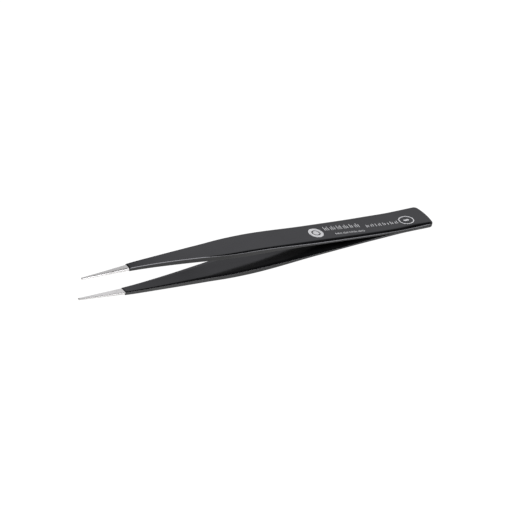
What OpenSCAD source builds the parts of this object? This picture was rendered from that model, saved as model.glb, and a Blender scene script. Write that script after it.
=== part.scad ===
// Precision tweezers.
// Two spring-steel arms are resistance-welded face to face at the tail, and a black
// epoxy skin covers everything but the tips. The arms bow apart, and a squeeze bends
// them just ahead of the weld until the tips meet.
//
// Frame: +X runs from the tips to the tail, Y across the width, and the arms close along Z.
// The origin is the middle of the overall box, so the plane between the arms is z = 0.
// Along the part, places are given as s, the distance from the tips.
//
// Real arms are one strip each. Here every strip and its skin are cut across at flex_s,
// the middle of the stretch that bends, so that each arm can turn about a hinge there.

/* [Overall] */
// Overall length, tips to tail
overall_length = 130; // [125:1:140]
// Width of the coated arms at the tail, where they are widest
arm_width = 10.6; // [9:0.1:12]
// Gap between the tips when nothing squeezes them
tip_gap = 6.9; // [5.5:0.1:8]

/* [Steel arms] */
// Width of the bare tips at their very end
tip_width = 0.7; // [0.4:0.1:1]
// Thickness of the steel at the tips
tip_thickness = 0.5; // [0.4:0.02:0.6]
// Thickness of the strip at the tail
strip_thickness = 0.84; // [0.74:0.02:0.94]
// Thickness of the grip, where the arms are stiffest
grip_thickness = 1.54; // [1.3:0.02:1.7]
// Length of the flat gripping face at each tip
tip_face_length = 10; // [6:1:12]

/* [Tail] */
// Length over which the two strips lie face to face
weld_length = 12; // [10:1:14]
// Radius of the rounded tail end
tail_radius = 20; // [12:0.5:30]
// Radius of the two tail corners
tail_corner_radius = 1.6; // [1:0.1:2.2]
// Diameter of each spot weld
weld_diameter = 2.8; // [2:0.1:3.5]
// Distance between the two spot welds
weld_pitch = 5; // [4:0.5:5.5]

/* [Skin and print] */
// Thickness of the epoxy skin
skin = 0.12; // [0.08:0.01:0.16]
// Length of steel left bare at the tips
bare_length = 16.1; // [14:0.1:20]
// Height of the printed marks above the skin
print_height = 0.04; // [0.02:0.01:0.06]
// Turn of the printed rows against the arm, in degrees
print_slant = -3; // [-4:0.5:0]

/* [Bending] */
// Distance from the tail to the middle of the stretch that bends
flex_from_tail = 25.3; // [25.1:0.1:25.5]
// Gap across the cut between an arm and the tail
flex_gap = 0.06; // [0.04:0.01:0.1]

/* [Hidden] */
$fn = 64;

steel_colour = [0.80, 0.80, 0.82];
skin_colour = [0.16, 0.16, 0.17];
print_colour = [0.86, 0.86, 0.86];

function from_tail(distance) = overall_length - distance;
flex_s = from_tail(flex_from_tail);
weld_s = from_tail(weld_length);
steel_width = arm_width - 2 * skin;
sampling_step = 3;
reach = 20; // taller and wider than any section, for outlines that only trim one way

// Height of the steel's inner face above the middle plane. The arm bows out fastest ahead
// of the weld, is highest behind the tip and comes back a little towards it.
inner_face = [
    [0, tip_gap * 0.50], [tip_face_length, tip_gap * 0.548], [20, tip_gap * 0.577],
    [32, tip_gap * 0.539], [45, tip_gap * 0.466], [58, tip_gap * 0.418],
    [70, tip_gap * 0.366], [82, tip_gap * 0.275], [94, tip_gap * 0.173],
    [106, tip_gap * 0.073], [weld_s, 0], [overall_length, 0]
];

// Thickness of the steel: plain strip at the tail, a stiff grip, and ground thin at the tip
thickness = [
    [0, tip_thickness], [8, 0.70], [bare_length, 0.93], [30, 1.22], [45, 1.45],
    [54, grip_thickness - 0.02], [62, grip_thickness - 0.02], [72, 1.27], [82, 1.02], [94, 0.91],
    [105, strip_thickness + 0.03], [weld_s, strip_thickness], [overall_length, strip_thickness]
];

// Half the steel's width: a hollow taper up to the shoulder, and a little wider to the tail
half_width = [
    [0, tip_width / 2], [8, 0.80], [bare_length, 1.28], [25, 1.95], [35, 2.82], [43, 3.61],
    [48, 4.17], [51, steel_width * 0.433], [54, steel_width * 0.448], [60, steel_width * 0.461],
    [72, steel_width * 0.475], [90, steel_width * 0.49], [weld_s, steel_width / 2],
    [overall_length, steel_width / 2]
];

// --- Smooth curve through a list of stations [s, value] ---
function last(list) = len(list) - 1;
function station_slope(list, i) =
    let (a = list[max(i - 1, 0)], b = list[min(i + 1, last(list))])
    (b[1] - a[1]) / (b[0] - a[0]);
function segment(list, s, i = 0) =
    i >= last(list) - 1 || s < list[i + 1][0] ? i : segment(list, s, i + 1);
function curve(list, s) =
    let (
        i = segment(list, s),
        a = list[i],
        b = list[i + 1],
        w = b[0] - a[0],
        t = (s - a[0]) / w
    )
    a[1] * (1 + 2 * t) * (1 - t) * (1 - t) + b[1] * t * t * (3 - 2 * t)
    + station_slope(list, i) * w * t * (1 - t) * (1 - t)
    - station_slope(list, i + 1) * w * t * t * (1 - t);

// --- Sections along an arm ---
// The gripping face at the tip and the welded face at the tail are flat.
function inner_z(s) =
    s >= weld_s ? 0
    : s <= tip_face_length
        ? inner_face[0][1] + (inner_face[1][1] - inner_face[0][1]) * s / tip_face_length
    : curve(inner_face, s);
function outer_z(s) = s >= weld_s ? strip_thickness : inner_z(s) + curve(thickness, s);
function side_y(s) = min(curve(half_width, s), steel_width / 2);

// Stations from one place to another, close enough together to draw a smooth curve
function spread(from, to) =
    let (n = ceil((to - from) / sampling_step))
    [for (i = [0:n]) from + (to - from) * i / n];

function reversed(list) = [for (i = [last(list):-1:0]) list[i]];

// Where the skins of the two arms run together, ahead of the weld
function crotch_s(from = flex_s, to = weld_s, pass = 0) =
    let (middle = (from + to) / 2)
    pass > 30 ? middle
    : inner_z(middle) > skin ? crotch_s(middle, to, pass + 1) : crotch_s(from, middle, pass + 1);

// --- Outlines ---
// Plan of a tapering arm between two places, grown outwards by the skin
module arm_plan(from, to, grow) {
    places = spread(from, to);
    right = [for (s = places) [s, side_y(s) + grow]];
    left = [for (s = reversed(places)) [s, -side_y(s) - grow]];
    polygon(concat(right, left));
}

// Plan of the tail: parallel sides, rounded corners and a bowed end
module tail_plan(from, grow) {
    half = steel_width / 2 + grow;
    bow_r = tail_radius + grow - skin;
    bow_s = from_tail(tail_radius);
    corner_y = half - tail_corner_radius;
    corner_run = bow_r - tail_corner_radius;
    corner_s = bow_s + sqrt(corner_run * corner_run - corner_y * corner_y);
    meet = asin(corner_y / corner_run);
    corner = [for (i = [0:6]) let (a = 90 + (meet - 90) * i / 6)
        [corner_s + tail_corner_radius * cos(a), corner_y + tail_corner_radius * sin(a)]];
    bow = [for (i = [1:9]) let (a = meet * (1 - i / 5))
        [bow_s + bow_r * cos(a), bow_r * sin(a)]];
    mirrored = [for (p = reversed(corner)) [p[0], -p[1]]];
    polygon(concat([[from, -half], [from, half]], corner, bow, mirrored));
}

// Side view of the upper strip between two places, grown outwards by the skin
module strip_side(from, to, grow) {
    inner_places = concat(
        spread(max(from, tip_face_length), min(to, weld_s)),
        to > weld_s ? [to] : []
    );
    start = from < tip_face_length ? [from] : [];
    outer_places = to > weld_s ? concat(spread(from, weld_s), [to]) : spread(from, to);
    inner = [for (s = concat(start, inner_places)) [s, inner_z(s) - grow]];
    outer = [for (s = reversed(outer_places)) [s, outer_z(s) + grow]];
    polygon(concat(inner, outer));
}

// Side view of the coated tail, with the slot where the arms part
module coated_tail_side() {
    crotch = crotch_s();
    slot = [for (s = spread(flex_s + flex_gap / 2, crotch)) if (s < crotch) [s, inner_z(s) - skin]];
    top = [for (s = spread(flex_s + flex_gap / 2, weld_s)) [s, outer_z(s) + skin]];
    end_top = [overall_length + 1, outer_z(overall_length) + skin];
    upper = concat(reversed(slot), top, [end_top]);
    lower = [for (p = reversed(upper)) [p[0], -p[1]]];
    polygon(concat([[crotch, 0]], upper, lower));
}

// Crosses a plan with a side view, and shifts the result so that the origin is central
module crossed() {
    translate([-overall_length / 2, 0, 0]) intersection() {
        translate([0, 0, -reach]) linear_extrude(2 * reach) children(0);
        translate([0, reach, 0]) rotate([90, 0, 0]) linear_extrude(2 * reach) children(1);
    }
}

// --- Steel ---
module blade() {
    crossed() {
        arm_plan(0, flex_s - flex_gap / 2, 0);
        strip_side(0, flex_s - flex_gap / 2, 0);
    }
}

module tail_plate() {
    crossed() {
        tail_plan(flex_s + flex_gap / 2, 0);
        strip_side(flex_s + flex_gap / 2, overall_length, 0);
    }
}

// Fused metal, half in each strip
module weld_nuggets() {
    for (side = [-1, 1])
        translate([overall_length / 2 - weld_length / 2 + side * weld_pitch / 2, 0, 0])
            cylinder(h = strip_thickness, d = weld_diameter, center = true);
}

module upper_tail_plate() {
    color(steel_colour) difference() {
        tail_plate();
        weld_nuggets();
    }
}

module lower_tail_plate() {
    color(steel_colour) mirror([0, 0, 1]) difference() {
        tail_plate();
        weld_nuggets();
    }
}

module spot_welds() {
    color(steel_colour) weld_nuggets();
}

module upper_blade() {
    color(steel_colour) blade();
}

module lower_blade() {
    color(steel_colour) mirror([0, 0, 1]) blade();
}

// --- Epoxy skin ---
module arm_skin() {
    difference() {
        crossed() {
            arm_plan(bare_length, flex_s - flex_gap / 2, skin);
            strip_side(bare_length, flex_s - flex_gap / 2, skin);
        }
        blade();
    }
}

module upper_coating() {
    color(skin_colour) arm_skin();
}

module lower_coating() {
    color(skin_colour) mirror([0, 0, 1]) arm_skin();
}

module tail_coating() {
    color(skin_colour) difference() {
        crossed() {
            tail_plan(flex_s + flex_gap / 2, skin);
            coated_tail_side();
        }
        tail_plate();
        mirror([0, 0, 1]) tail_plate();
    }
}

// --- Printed marks, generic ones, lying on the upper arm's skin ---
// The layer that all print lies in, between two places
module print_layer(from, to) {
    places = spread(from, to);
    base = [for (s = places) [s, outer_z(s) + skin]];
    top = [for (s = reversed(places)) [s, outer_z(s) + skin + print_height]];
    crossed() {
        children(0);
        polygon(concat(base, top));
    }
}

// A row of blocks that stands for a line of lettering, centred on its own middle
module block_row(height, widths, gap) {
    length = sum_before(widths, len(widths)) + gap * last(widths);
    for (i = [0:last(widths)])
        translate([sum_before(widths, i) + gap * i - length / 2, -height / 2])
            square([widths[i], height]);
}

function sum_before(list, i) = i == 0 ? 0 : list[i - 1] + sum_before(list, i - 1);

module emblem_print() {
    color(print_colour) print_layer(from_tail(48), from_tail(40))
        translate([from_tail(44), -0.25]) difference() {
            circle(d = 5.1);
            difference() {
                circle(d = 3);
                circle(d = 2.1);
            }
        }
}

module name_print() {
    color(print_colour) print_layer(from_tail(42), flex_s - 0.1) {
        union() {
            translate([from_tail(33.3), 1.0]) rotate(print_slant)
                block_row(2.1, [1.1, 1.3, 1.2, 0.9, 1.2, 1.2, 1.0, 1.1], 0.6);
            translate([from_tail(32.1), -2.4]) rotate(print_slant)
                block_row(0.85, [2.3, 1.8, 2.9, 2.1], 0.6);
        }
    }
}

module code_print() {
    color(print_colour) print_layer(flex_s + 0.1, from_tail(11.9))
        translate([from_tail(18.4), -0.75]) rotate(print_slant)
            block_row(1.6, [0.9, 0.9, 1.1, 0.9, 0.7, 1.1, 0.9, 1.0, 0.9], 0.45);
}

// An oval with a bar in it
module symbol_print() {
    color(print_colour) print_layer(from_tail(11.8), overall_length)
        translate([from_tail(8.8), -1]) {
            difference() {
                scale([1, 0.82]) circle(d = 5.5);
                scale([1, 0.78]) circle(d = 4.5);
            }
            square([2, 0.8], center = true);
        }
}

upper_tail_plate();
lower_tail_plate();
spot_welds();
tail_coating();
upper_blade();
upper_coating();
lower_blade();
lower_coating();
emblem_print();
name_print();
code_print();
symbol_print();
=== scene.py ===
"""Precision tweezers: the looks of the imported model, on a pale floor in soft studio light.

The builders work in millimetres in the CAD frame: x runs towards the tail and z is the way the
arms close. make_mesh() turns millimetres into Blender's metres. Both arms are the same shape,
so each piece is built as the upper one, and the lower one is its mirror image.
"""

import math

import bmesh
import bpy
import numpy as np
from mathutils import Matrix, Vector
from mathutils.bvhtree import BVHTree


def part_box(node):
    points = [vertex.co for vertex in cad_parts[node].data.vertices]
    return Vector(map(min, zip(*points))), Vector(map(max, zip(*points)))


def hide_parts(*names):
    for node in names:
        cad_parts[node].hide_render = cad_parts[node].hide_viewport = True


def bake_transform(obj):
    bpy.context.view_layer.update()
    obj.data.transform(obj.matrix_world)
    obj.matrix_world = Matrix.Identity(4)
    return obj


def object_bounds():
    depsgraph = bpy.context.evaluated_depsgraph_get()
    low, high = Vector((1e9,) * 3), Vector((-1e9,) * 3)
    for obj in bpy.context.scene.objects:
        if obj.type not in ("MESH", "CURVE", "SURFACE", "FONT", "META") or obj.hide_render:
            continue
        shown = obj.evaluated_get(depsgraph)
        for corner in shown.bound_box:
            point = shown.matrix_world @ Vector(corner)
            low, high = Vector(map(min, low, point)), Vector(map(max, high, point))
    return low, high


MM = 0.001

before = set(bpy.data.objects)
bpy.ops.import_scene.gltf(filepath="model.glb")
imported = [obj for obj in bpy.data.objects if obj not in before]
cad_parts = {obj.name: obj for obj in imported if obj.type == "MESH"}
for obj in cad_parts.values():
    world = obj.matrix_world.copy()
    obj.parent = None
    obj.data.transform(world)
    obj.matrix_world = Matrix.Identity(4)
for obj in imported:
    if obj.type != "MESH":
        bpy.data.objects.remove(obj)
cad_low, cad_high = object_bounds()


# ------------------------------------------------------------ what the frame says

def box_mm(node):
    low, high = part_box(node)
    return np.array(low) / MM, np.array(high) / MM


TIP_X = cad_low.x / MM
TAIL_X = cad_high.x / MM
COLLAR_X = box_mm("upper_coating")[0][0]
ARM_HALF_WIDTH = box_mm("tail_coating")[1][1]
SKIN = ARM_HALF_WIDTH - box_mm("upper_tail_plate")[1][1]

WELD_X = TAIL_X - 12  # the strips lie face to face from here to the tail
TAIL_RADIUS = 20  # the tail's end seen from above, with the corner radius below
TAIL_CORNER_RADIUS = 1.6


# ------------------------------------------------------------ curves

def smoothstep(x, low, high):
    t = np.clip((x - low) / (high - low), 0, 1)
    return t * t * (3 - 2 * t)


def cubic_spline(xs, ys):
    """The natural cubic spline through some points, as a function."""
    xs, ys = np.array(xs, float), np.array(ys, float)
    n = len(xs)
    h = np.diff(xs)
    system, right = np.eye(n), np.zeros(n)
    for i in range(1, n - 1):
        system[i, i - 1:i + 2] = h[i - 1], 2 * (h[i - 1] + h[i]), h[i]
        right[i] = 6 * ((ys[i + 1] - ys[i]) / h[i] - (ys[i] - ys[i - 1]) / h[i - 1])
    bend = np.linalg.solve(system, right)

    def value(x):
        i = np.clip(np.searchsorted(xs, x) - 1, 0, n - 2)
        a, b, w = xs[i + 1] - x, x - xs[i], h[i]
        return (
            (bend[i] * a ** 3 + bend[i + 1] * b ** 3) / (6 * w)
            + (ys[i] / w - bend[i] * w / 6) * a
            + (ys[i + 1] / w - bend[i + 1] * w / 6) * b
        )

    return value


def cut_corners(points, passes=2):
    """Rounds a polyline, keeping its ends. Each pass cuts the corners off at a quarter of their
    edges."""
    for _ in range(passes):
        a, b = points[:-1], points[1:]
        rounded = np.stack([a * 0.75 + b * 0.25, a * 0.25 + b * 0.75], 1).reshape(-1, points.shape[1])
        points = np.vstack([points[:1], rounded[1:-1], points[-1:]])
    return points


# ------------------------------------------------------------ the strip, read off the CAD steel

FAR = 30.0  # outside every piece
STATION_STEP = 4.5
TIP_MARGIN = 0.05
TAIL_MARGIN = 3.0  # the tail's corners start behind this


def surface_of(*nodes):
    """A copy of some CAD nodes that rays can be cast at, in millimetres."""
    vertices, faces = [], []
    for node in nodes:
        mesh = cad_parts[node].data
        first = len(vertices)
        vertices += [v.co / MM for v in mesh.vertices]
        faces += [[first + i for i in p.vertices] for p in mesh.polygons]
    return BVHTree.FromPolygons(vertices, faces)


def measure_strip():
    """The upper strip's outer height, inner height and half width, as smooth functions of x."""
    surface = surface_of("upper_blade", "upper_tail_plate")
    count = round((TAIL_X - TAIL_MARGIN - TIP_X) / STATION_STEP) + 1
    places = np.linspace(TIP_X + TIP_MARGIN, TAIL_X - TAIL_MARGIN, count)
    outer, inner, half = [], [], []
    for x in places:
        top = surface.ray_cast(Vector((x, 0, FAR)), Vector((0, 0, -1)))[0].z
        bottom = 0
        if x < WELD_X:
            bottom = surface.ray_cast(Vector((x, 0, -FAR)), Vector((0, 0, 1)))[0].z
        side = surface.ray_cast(Vector((x, FAR, (top + bottom) / 2)), Vector((0, -1, 0)))[0].y
        outer.append(top)
        inner.append(bottom)
        half.append(side)
    return [cubic_spline(places, values) for values in (outer, inner, half)]


steel_outer_z, steel_inner_z, steel_half_width = measure_strip()


def outer_z(x, skin=0.0):
    return steel_outer_z(x) + skin


def inner_z(x, skin=0.0):
    """The inner face's height; on the coated tail the two skins meet at z = 0."""
    return np.maximum(steel_inner_z(x) - skin, 0)


def half_width(x, skin=0.0):
    return np.minimum(steel_half_width(x) + skin, ARM_HALF_WIDTH - SKIN + skin)


# ------------------------------------------------------------ meshes

MERGE = 0.0001  # vertices closer than this are one


def make_mesh(name, vertices, faces, material):
    """A smooth mesh object from millimetres."""
    mesh = bpy.data.meshes.new(name)
    mesh.from_pydata([tuple(v * MM) for v in np.array(vertices, float)], [], faces)
    mesh.validate()
    bm = bmesh.new()
    bm.from_mesh(mesh)
    bmesh.ops.remove_doubles(bm, verts=bm.verts, dist=MERGE * MM)
    bmesh.ops.recalc_face_normals(bm, faces=bm.faces)
    bm.to_mesh(mesh)
    bm.free()
    mesh.materials.append(material)
    for polygon in mesh.polygons:
        polygon.use_smooth = True
    piece = bpy.data.objects.new(name, mesh)
    bpy.context.scene.collection.objects.link(piece)
    return piece


RING_STEP = 0.6
SLOPE_STEP = 0.01
CORNER_RINGS = 9
BOW_RINGS = 15
ACROSS = 5  # quads across the flat part of a face


def side_outline(start_x, skin):
    """Half the plan outline, from start_x to the middle of the tail's end: its points, and the
    directions inwards from them. A side ends in a corner, and the tail's end is bowed."""
    bow_x = TAIL_X - TAIL_RADIUS
    bow_radius = TAIL_RADIUS - SKIN + skin
    corner_y = ARM_HALF_WIDTH - SKIN + skin - TAIL_CORNER_RADIUS
    corner_run = bow_radius - TAIL_CORNER_RADIUS
    corner_x = bow_x + math.sqrt(corner_run ** 2 - corner_y ** 2)
    meet = math.asin(corner_y / corner_run)

    xs = np.linspace(start_x, corner_x, round((corner_x - start_x) / RING_STEP))
    rise = half_width(xs + SLOPE_STEP, skin) - half_width(xs - SLOPE_STEP, skin)
    slope = rise / (2 * SLOPE_STEP)
    length = np.hypot(slope, 1)
    sides = np.stack([xs, half_width(xs, skin)], 1)
    inwards = np.stack([slope / length, -1 / length], 1)

    turns = np.linspace(math.pi / 2, meet, CORNER_RINGS + 1)[1:]
    corner_ways = np.stack([np.cos(turns), np.sin(turns)], 1)
    corner = np.array([corner_x, corner_y]) + TAIL_CORNER_RADIUS * corner_ways
    turns = np.linspace(meet, 0, BOW_RINGS + 1)[1:]
    bow_ways = np.stack([np.cos(turns), np.sin(turns)], 1)
    bow = np.array([bow_x, 0]) + bow_radius * bow_ways
    return np.vstack([sides, corner, bow]), np.vstack([inwards, -corner_ways, -bow_ways])


def edge_profile(fall_y, fall_z, softness, slant, crown_y, crown_z, flat_inset):
    """One side of a section, from the inner face round to the outer face. Each point is its
    inset from the outline, its share of the height, and a further height. The side leans in by
    the slant. The outer edge falls away over fall_y and fall_z: a flat chamfer at softness 0,
    a fall that steepens slowly at softness 1. The inner face is crowned by crown_z, over
    crown_y from its edge. Both faces are flat beyond flat_inset."""
    corners = [
        (flat_inset, 0, 0),
        (crown_y, 0, 0),
        (0.6 * crown_y, 0, 0.25 * crown_z),
        (0.06, 0, crown_z),
        (0, 0, crown_z + 0.06),
        (0.12 * slant, 0.12, crown_z),
        (0.85 * slant, 0.85, -1.36 * fall_z),
        (slant, 1, -1.6 * fall_z),
        (slant, 1, -fall_z),
        (slant + (0.75 - 0.59 * softness) * fall_y, 1, -(0.10 + 0.35 * softness) * fall_z),
        (slant + (0.90 - 0.35 * softness) * fall_y, 1, -(0.03 + 0.05 * softness) * fall_z),
        (slant + fall_y, 1, 0),
        (flat_inset, 1, 0),
    ]
    return cut_corners(np.array(corners, float))


def ring_at(point, inwards, profile, skin, shrink=0.0):
    """The closed section of the upper arm at one point of its outline."""
    insets = profile[:, 0] + shrink
    xs = point[0] + inwards[0] * insets
    ys = point[1] + inwards[1] * insets
    low = inner_z(xs, skin) + shrink
    high = outer_z(xs, skin) - shrink
    zs = np.maximum.accumulate(low + (high - low) * profile[:, 1] + profile[:, 2])
    right = np.stack([xs, ys, zs], 1)
    left = right[::-1] * (1, -1, 1)
    shares = (np.arange(1, ACROSS) / ACROSS)[:, None]
    top = right[-1] * (1 - shares) + left[0] * shares
    bottom = left[-1] * (1 - shares) + right[0] * shares
    return np.vstack([right, top, left, bottom])


def ring_faces(rings):
    """Quads between neighbouring rings, and a cap on the first ring."""
    count = len(rings[0])
    faces = [list(range(count))]
    for r in range(len(rings) - 1):
        for i in range(count):
            j = (i + 1) % count
            faces.append([r * count + i, r * count + j, (r + 1) * count + j, (r + 1) * count + i])
    return faces


def mirrored(vertices):
    return np.array(vertices) * (1, 1, -1)


def coat_profile(x):
    """The skin: near the tips its sides lean in and its edges are chamfered; along the grip and
    the tail its sides are upright and its edges soft and wide."""
    front = 1 - smoothstep(x, TIP_X + 40, TIP_X + 62)
    rear = smoothstep(x, TIP_X + 60, TIP_X + 84)
    tail_end = smoothstep(x, TAIL_X - 8, TAIL_X - 3)
    weld = smoothstep(x, WELD_X - 22, WELD_X - 6)
    apart = 1 - weld
    slant = (0.12 + 0.12 * smoothstep(x, COLLAR_X, COLLAR_X + 12)) * front
    fall_y = 0.95 - 0.81 * front + 0.65 * rear - 0.45 * tail_end
    crown_y = 0.5 + 0.6 * smoothstep(x, TIP_X + 20, TIP_X + 48) * apart
    return edge_profile(
        fall_y=fall_y,
        fall_z=0.33 - 0.11 * front + 0.22 * rear - 0.11 * weld,
        softness=1 - front,
        slant=slant,
        crown_y=crown_y,
        crown_z=0.01 + 0.09 * crown_y * apart,
        flat_inset=max(slant + fall_y, crown_y) * 1.05,
    )


LIP_RUN = 0.14


def coat_rings():
    """The skin's sections. Its front end is a small rounded lip that comes up off the steel."""
    points, inwards = side_outline(COLLAR_X, SKIN)
    rings = []
    for lip_x, share in ((0.0, 1.0), (0.01, 0.55), (0.05, 0.2)):
        point = points[0] + np.array([lip_x, 0])
        rings.append(ring_at(point, inwards[0], coat_profile(point[0]), SKIN, SKIN * share))
    points[0][0] += LIP_RUN
    for point, way in zip(points, inwards):
        rings.append(ring_at(point, way, coat_profile(point[0]), SKIN))
    return rings


def steel_profile(x):
    """The steel, with the ground edges of the bare tip."""
    width = float(half_width(x))
    depth = float(outer_z(x) - inner_z(x))
    return edge_profile(
        fall_y=0.28 * width,
        fall_z=0.2 * depth,
        softness=0.5,
        slant=0.1 * width,
        crown_y=0.3 * width,
        crown_z=0.02,
        flat_inset=0.65 * width,
    )


POINT_RADIUS = 0.22
BARE_REACH = 5  # the bare tip's edges run on this far under the skin


def steel_rings():
    """The steel's sections. The very end of the tip is rounded off."""
    points, inwards = side_outline(TIP_X, 0)
    rings = []
    for share in (0.02, 0.2, 0.5, 1.0):
        x = TIP_X + POINT_RADIUS * share
        shrink = POINT_RADIUS * (1 - math.sqrt(1 - (1 - share) ** 2))
        left = 1 - 2 * shrink / float(outer_z(x) - inner_z(x))
        place = np.array([x, float(half_width(x))])
        rings.append(ring_at(place, inwards[0], steel_profile(x) * (left, 1, left), 0, shrink))
    for point, way in zip(points, inwards):
        if point[0] > TIP_X + POINT_RADIUS:
            rings.append(ring_at(point, way, steel_profile(min(point[0], COLLAR_X + BARE_REACH)), 0))
    return rings


# ------------------------------------------------------------ node helpers

def new_material(name):
    material = bpy.data.materials.new(name)
    material.use_nodes = True
    nodes = material.node_tree.nodes
    return material, nodes, material.node_tree.links, nodes["Principled BSDF"]


def noise(nodes, links, scale, detail=3.0, stretch=(1, 1, 1)):
    """Procedural noise in object space, about 1/scale metres to a feature."""
    place = nodes.new("ShaderNodeTexCoord")
    mapping = nodes.new("ShaderNodeMapping")
    mapping.inputs["Scale"].default_value = stretch
    texture = nodes.new("ShaderNodeTexNoise")
    texture.inputs["Scale"].default_value = scale
    texture.inputs["Detail"].default_value = detail
    links.new(place.outputs["Object"], mapping.inputs["Vector"])
    links.new(mapping.outputs["Vector"], texture.inputs["Vector"])
    return texture.outputs["Fac"]


def ranged(nodes, links, factor, low, high, from_low=0.3, from_high=0.7):
    """A factor mapped onto a range."""
    node = nodes.new("ShaderNodeMapRange")
    node.inputs["From Min"].default_value = from_low
    node.inputs["From Max"].default_value = from_high
    node.inputs["To Min"].default_value = low
    node.inputs["To Max"].default_value = high
    links.new(factor, node.inputs["Value"])
    return node.outputs["Result"]


def two_tone(nodes, links, factor, dark, light):
    """A colour that drifts between two, over the middle of a noise's range."""
    ramp = nodes.new("ShaderNodeValToRGB")
    for element, position, colour in zip(ramp.color_ramp.elements, (0.35, 0.65), (dark, light)):
        element.position = position
        element.color = (*colour, 1)
    links.new(factor, ramp.inputs["Fac"])
    return ramp.outputs["Color"]


def painted_shade_by_tilt(nodes, links, sides, flats):
    """Painted shade: a darker colour on the faces that look sideways and a lighter one on those that
    look up or down.
    """
    place = nodes.new("ShaderNodeTexCoord")
    parts = nodes.new("ShaderNodeSeparateXYZ")
    links.new(place.outputs["Normal"], parts.inputs["Vector"])
    sideways = nodes.new("ShaderNodeMath")
    sideways.operation = "ABSOLUTE"
    links.new(parts.outputs["Y"], sideways.inputs[0])
    mix = nodes.new("ShaderNodeMix")
    mix.data_type = "RGBA"
    links.new(ranged(nodes, links, sideways.outputs["Value"], 0.0, 1.0, 0.4, 0.8),
              mix.inputs["Factor"])
    links.new(flats, mix.inputs["A"])
    links.new(sides, mix.inputs["B"])
    return mix.outputs["Result"]


def bumped(nodes, links, height, depth, under=None):
    """A bump of the given depth in millimetres, on top of the bump under it if there is one."""
    node = nodes.new("ShaderNodeBump")
    node.inputs["Distance"].default_value = depth * MM
    links.new(height, node.inputs["Height"])
    if under is not None:
        links.new(under, node.inputs["Normal"])
    return node.outputs["Normal"]


# ------------------------------------------------------------ materials

def epoxy_black():
    """Satin black epoxy: an even film with faint orange peel, dust-fine grain and a few smears."""
    material, nodes, links, shader = new_material("epoxy_black")
    cloud = noise(nodes, links, 160, 3)
    links.new(two_tone(nodes, links, cloud, (0.003, 0.003, 0.0032), (0.0045, 0.0045, 0.005)),
              shader.inputs["Base Color"])
    smear = noise(nodes, links, 220, 4, (0.35, 1, 1))
    links.new(ranged(nodes, links, smear, 0.10, 0.14), shader.inputs["Roughness"])
    shader.inputs["IOR"].default_value = 1.5
    peel = bumped(nodes, links, noise(nodes, links, 1300, 1), 0.0025)
    grain = bumped(nodes, links, noise(nodes, links, 9000, 2), 0.0003, under=peel)
    links.new(grain, shader.inputs["Normal"])
    return material


def ground_steel():
    """Stainless steel, finely ground along the arm, with painted shade: a darker base colour on the
    sides than on the flats.
    """
    material, nodes, links, shader = new_material("ground_steel")
    shader.inputs["Metallic"].default_value = 0.85
    cloud = noise(nodes, links, 500, 3, (0.3, 1, 1))
    # painted shade: the sideways faces get a darker copy of the steel colour than the flats
    flats = two_tone(nodes, links, cloud, (0.82, 0.805, 0.775), (0.90, 0.885, 0.855))
    sides = two_tone(nodes, links, cloud, (0.56, 0.55, 0.54), (0.62, 0.61, 0.60))
    links.new(painted_shade_by_tilt(nodes, links, sides, flats), shader.inputs["Base Color"])
    lines = noise(nodes, links, 14000, 4, (0.03, 1, 1))
    links.new(ranged(nodes, links, lines, 0.16, 0.24), shader.inputs["Roughness"])
    links.new(bumped(nodes, links, lines, 0.0003), shader.inputs["Normal"])
    return material


def weld_steel():
    """Fused steel of the spot welds, duller and slightly blued by the heat."""
    material, nodes, links, shader = new_material("weld_steel")
    shader.inputs["Metallic"].default_value = 1.0
    cloud = noise(nodes, links, 900, 4)
    links.new(two_tone(nodes, links, cloud, (0.30, 0.29, 0.33), (0.46, 0.44, 0.42)),
              shader.inputs["Base Color"])
    links.new(ranged(nodes, links, cloud, 0.4, 0.6), shader.inputs["Roughness"])
    links.new(bumped(nodes, links, cloud, 0.02), shader.inputs["Normal"])
    return material


def pale_ink():
    """Matt pad-printed ink, slightly uneven in cover."""
    material, nodes, links, shader = new_material("pale_ink")
    cover = noise(nodes, links, 2600, 4)
    links.new(two_tone(nodes, links, cover, (0.44, 0.44, 0.45), (0.60, 0.60, 0.61)),
              shader.inputs["Base Color"])
    links.new(ranged(nodes, links, cover, 0.45, 0.65), shader.inputs["Roughness"])
    links.new(bumped(nodes, links, cover, 0.004), shader.inputs["Normal"])
    return material


EPOXY = epoxy_black()
STEEL = ground_steel()
WELD = weld_steel()
INK = pale_ink()


# ------------------------------------------------------------ arms


def bend_with(piece):
    """Bakes the piece's transform into its mesh."""
    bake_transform(piece)


def build_arm(side, shape, rings, material, nodes):
    """One arm's skin or steel, in place of the CAD nodes it covers."""
    vertices = np.vstack(rings)
    if side == "lower":
        vertices = mirrored(vertices)
    piece = make_mesh(f"{side}_{shape}", vertices, ring_faces(rings), material)
    bend_with(piece)
    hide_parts(*nodes)


skin_rings = coat_rings()
strip_rings = steel_rings()
for side in ("upper", "lower"):
    build_arm(side, "arm_skin", skin_rings, EPOXY, [f"{side}_coating", "tail_coating"])
    build_arm(side, "steel_strip", strip_rings, STEEL,
              [f"{side}_blade", f"{side}_tail_plate"])

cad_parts["spot_welds"].data.materials.clear()
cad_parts["spot_welds"].data.materials.append(WELD)


# ------------------------------------------------------------ print

INK_RAISE = 0.02
INK_SINK = 0.03
PRINT_SLANT = math.radians(-3)
RING_SIDES = 48
EMBLEM_HOLE = 0.59  # shares of the emblem's radius
EMBLEM_DOT = 0.41
OVAL_HOLE = 0.86  # a share of the oval's radius
OVAL_HEIGHT = 0.82  # a share of its width
BAR_LENGTH = 2
BAR_HEIGHT = 0.8
SHORT_STROKE = 0.72  # a share of the full height


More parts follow.
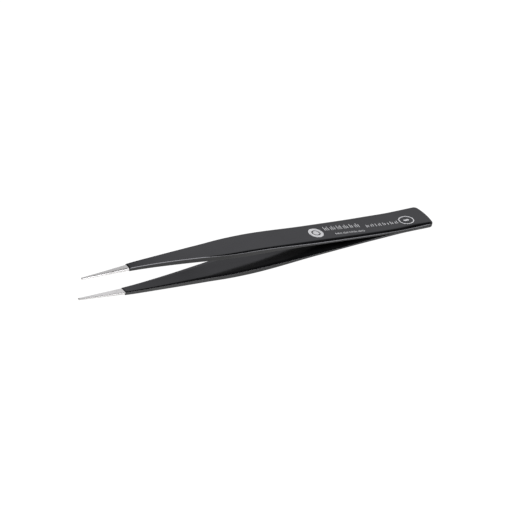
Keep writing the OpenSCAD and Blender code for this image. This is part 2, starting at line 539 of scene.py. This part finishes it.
def draped_piece(name, shapes, node):
    """Flat shapes in plan, given thickness and laid on the upper arm's skin."""
    bm = bmesh.new()
    for points, faces in shapes:
        made = [bm.verts.new((x, y, 0)) for x, y in points]
        for face in faces:
            bm.faces.new([made[i] for i in face])
    bmesh.ops.recalc_face_normals(bm, faces=bm.faces)
    for face in bm.faces:
        if face.normal.z < 0:
            face.normal_flip()
    raised = bmesh.ops.extrude_face_region(bm, geom=bm.faces[:])
    lifted = {item for item in raised["geom"] if isinstance(item, bmesh.types.BMVert)}
    for vertex in bm.verts:
        level = INK_RAISE if vertex in lifted else -INK_SINK
        vertex.co.z = float(outer_z(vertex.co.x, SKIN)) + level
    bmesh.ops.recalc_face_normals(bm, faces=bm.faces)
    bmesh.ops.scale(bm, vec=(MM, MM, MM), verts=bm.verts)
    mesh = bpy.data.meshes.new(name)
    bm.to_mesh(mesh)
    bm.free()
    mesh.materials.append(INK)
    piece = bpy.data.objects.new(name, mesh)
    bpy.context.scene.collection.objects.link(piece)
    bend_with(piece)
    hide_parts(node)


def band(x, y, inner_radius, outer_radius):
    """A ring in plan, as quads; an inner radius of 0 gives a disc."""
    angles = [2 * math.pi * i / RING_SIDES for i in range(RING_SIDES)]
    radii = [inner_radius, (inner_radius + outer_radius) / 2, outer_radius]
    if inner_radius == 0:
        radii = [outer_radius / 2, outer_radius]
    points = [(x + r * math.cos(a), y + r * math.sin(a)) for r in radii for a in angles]
    faces = []
    for row in range(len(radii) - 1):
        near, far = row * RING_SIDES, (row + 1) * RING_SIDES
        for i in range(RING_SIDES):
            j = (i + 1) % RING_SIDES
            faces.append([near + i, near + j, far + j, far + i])
    if inner_radius == 0:
        faces.append(list(range(RING_SIDES)))
    return points, faces


def block(x, y, width, height):
    """A rectangle in plan with its corners cut, x at its start and y at its middle."""
    cut = min(width, height) * 0.2
    xs = [x, x + cut, x + width - cut, x + width]
    ys = [y - height / 2, y - height / 2 + cut, y + height / 2 - cut, y + height / 2]
    points = [(xs[1], ys[0]), (xs[2], ys[0]), (xs[3], ys[1]), (xs[3], ys[2]),
              (xs[2], ys[3]), (xs[1], ys[3]), (xs[0], ys[2]), (xs[0], ys[1])]
    return points, [list(range(8))]


def turned(shapes, x, y):
    """Shapes made round the origin, turned with the print and moved into place."""
    cos, sin = math.cos(PRINT_SLANT), math.sin(PRINT_SLANT)
    return [
        ([(x + cos * px - sin * py, y + sin * px + cos * py) for px, py in points], faces)
        for points, faces in shapes
    ]


def stroke_row(length, height, groups, stroke):
    """A row of upright strokes in groups, some shorter: it stands for a line of lettering.
    The space between two groups is twice the gap between two strokes."""
    strokes, spaces = sum(groups), len(groups) - 1
    gap = (length - strokes * stroke) / (strokes - 1 + spaces)
    shapes = []
    place = -length / 2
    for number, count in enumerate(groups):
        for i in range(count):
            share = SHORT_STROKE if (number + i) % 2 else 1.0
            shapes.append(block(place, height * (share - 1) / 2, stroke, height * share))
            place += stroke + gap
        place += gap
    return shapes


def disc_of(node):
    """The middle and the radius of a CAD mark, in plan."""
    low, high = box_mm(node)
    return (low[0] + high[0]) / 2, (low[1] + high[1]) / 2, (high[0] - low[0]) / 2


def emblem():
    x, y, radius = disc_of("emblem_print")
    return [band(x, y, radius * EMBLEM_HOLE, radius), band(x, y, 0, radius * EMBLEM_DOT)]


def name_rows():
    large = stroke_row(length=13.2, height=2.1, groups=[3, 3, 3, 3, 2, 3], stroke=0.24)
    small = stroke_row(length=10.9, height=0.85, groups=[5, 4, 6, 5], stroke=0.2)
    return turned(large, TAIL_X - 33.3, 1.0) + turned(small, TAIL_X - 32.1, -2.4)


def code_row():
    row = stroke_row(length=12.0, height=1.5, groups=[2, 2, 1, 2, 2, 1, 2, 2], stroke=0.24)
    return turned(row, TAIL_X - 18.4, -0.75)


def symbol():
    x, y, radius = disc_of("symbol_print")
    points, faces = band(0, 0, radius * OVAL_HOLE, radius)
    oval = [(x + px, y + OVAL_HEIGHT * py) for px, py in points]
    return [(oval, faces), block(x - BAR_LENGTH / 2, y, BAR_LENGTH, BAR_HEIGHT)]


draped_piece("emblem_ink", emblem(), "emblem_print")
draped_piece("name_ink", name_rows(), "name_print")
draped_piece("code_ink", code_row(), "code_print")
draped_piece("symbol_ink", symbol(), "symbol_print")


# ------------------------------------------------------------ studio

CAMERA_AZIMUTH = -38.3
CAMERA_ELEVATION = 31.8
CAMERA_ROLL = 10.68
CAMERA_DISTANCE = 0.9744
CAMERA_SHIFT_RIGHT = -0.00118
CAMERA_SHIFT_UP = -0.00110
SENSOR = 36.0
LENS = 220.2
STRIP_STRENGTH = 9.0
FLOOR_SIZE = 12
FLOOR_GAP = 0.02  # between the object and the floor, in millimetres
LAMP_DISTANCE = 1.1


def make_camera():
    """The camera, with its roll turned in and both shifts made by moving it sideways."""
    azimuth, elevation, roll = map(math.radians, (CAMERA_AZIMUTH, CAMERA_ELEVATION, CAMERA_ROLL))
    back = Vector((math.sin(azimuth) * math.cos(elevation),
                   -math.cos(azimuth) * math.cos(elevation),
                   math.sin(elevation)))
    level_right = Vector((math.cos(azimuth), math.sin(azimuth), 0))
    level_up = back.cross(level_right)
    right = level_right * math.cos(roll) + level_up * math.sin(roll)
    up = level_up * math.cos(roll) - level_right * math.sin(roll)
    centre = (cad_low + cad_high) / 2
    place = centre + back * CAMERA_DISTANCE + right * CAMERA_SHIFT_RIGHT + up * CAMERA_SHIFT_UP
    camera = bpy.data.objects.new("camera", bpy.data.cameras.new("camera"))
    camera.data.lens = LENS
    camera.data.sensor_width = SENSOR
    camera.data.clip_start = 0.01
    camera.data.clip_end = 50
    turn = Matrix((right, up, back)).transposed().to_4x4()
    camera.matrix_world = Matrix.Translation(place) @ turn
    bpy.context.scene.collection.objects.link(camera)
    bpy.context.scene.camera = camera


def make_world():
    """A pale sweep behind the object and a low strip light before it, dark overhead."""
    world = bpy.data.worlds.new("studio")
    world.use_nodes = True
    bpy.context.scene.world = world
    nodes, links = world.node_tree.nodes, world.node_tree.links
    place = nodes.new("ShaderNodeTexCoord")
    parts = nodes.new("ShaderNodeSeparateXYZ")
    links.new(place.outputs["Generated"], parts.inputs["Vector"])

    def stepped(output, low, high, at_low, at_high):
        node = nodes.new("ShaderNodeMapRange")
        node.interpolation_type = "SMOOTHSTEP"
        for name, value in zip(("From Min", "From Max", "To Min", "To Max"),
                               (low, high, at_low, at_high)):
            node.inputs[name].default_value = value
        links.new(output, node.inputs["Value"])
        return node.outputs["Result"]

    def combined(operation, first, second):
        node = nodes.new("ShaderNodeMath")
        node.operation = operation
        links.new(first, node.inputs[0])
        links.new(second, node.inputs[1])
        return node.outputs["Value"]

    # behind the object, a sweep that grows brighter upwards and ends below the zenith
    behind = stepped(parts.outputs["Y"], -0.05, 0.25, 0.0, 1.0)
    rising = stepped(parts.outputs["Z"], 0.30, 0.54, 0.45, 0.80)
    cut_off = stepped(parts.outputs["Z"], 0.50, 0.70, 1.0, 0.02)
    sweep = combined("MULTIPLY", combined("MULTIPLY", behind, rising), cut_off)
    # in front, a low strip light that draws the edges
    before = stepped(parts.outputs["Y"], -0.45, -0.6, 0.0, 1.0)
    right_end = stepped(parts.outputs["X"], 0.58, 0.67, 1.0, 0.0)
    left_end = stepped(parts.outputs["X"], 0.1, 0.2, 0.0, STRIP_STRENGTH)
    low_down = stepped(parts.outputs["Z"], 0.40, 0.50, 1.0, 0.0)
    strip = combined("MULTIPLY", combined("MULTIPLY", before, low_down),
                     combined("MULTIPLY", left_end, right_end))
    nodes["Background"].inputs["Color"].default_value = (0.97, 0.97, 1.03, 1)
    links.new(combined("MAXIMUM", sweep, strip), nodes["Background"].inputs["Strength"])


def make_floor():
    """A pale floor that the lower arm's grip and the tail both rest on."""
    tail_x = TAIL_X - TAIL_MARGIN
    tail_drop = float(outer_z(tail_x, SKIN))
    slope = max((float(outer_z(x, SKIN)) - tail_drop) / (tail_x - x)
                for x in np.linspace(TIP_X, WELD_X, 300))
    height = -tail_drop - slope * tail_x - FLOOR_GAP
    bpy.ops.mesh.primitive_plane_add(size=FLOOR_SIZE, location=(0, 0, height * MM),
                                     rotation=(0, -math.atan(slope), 0))
    floor = bpy.context.object
    floor.name = "floor"
    material, _, _, shader = new_material("pale_floor")
    shader.inputs["Base Color"].default_value = (0.04, 0.04, 0.04, 1)
    shader.inputs["Roughness"].default_value = 0.9
    shader.inputs["Specular IOR Level"].default_value = 0.0
    shader.inputs["Emission Color"].default_value = (1, 1, 1, 1)
    shader.inputs["Emission Strength"].default_value = 1.02
    floor.data.materials.append(material)


def make_key_light():
    """A large soft lamp from the upper left front, which casts no glare on the gloss."""
    lamp = bpy.data.lights.new("key", "AREA")
    lamp.shape = "DISK"
    lamp.size = 0.5
    lamp.energy = 14
    key = bpy.data.objects.new("key", lamp)
    direction = Vector((-0.35, -0.45, 0.82)).normalized()
    key.location = direction * LAMP_DISTANCE
    key.visible_glossy = False
    key.rotation_mode = "QUATERNION"
    key.rotation_quaternion = direction.to_track_quat("Z", "Y")
    bpy.context.scene.collection.objects.link(key)


make_camera()
make_world()
make_floor()
make_key_light()
bpy.context.scene.view_settings.view_transform = "Standard"
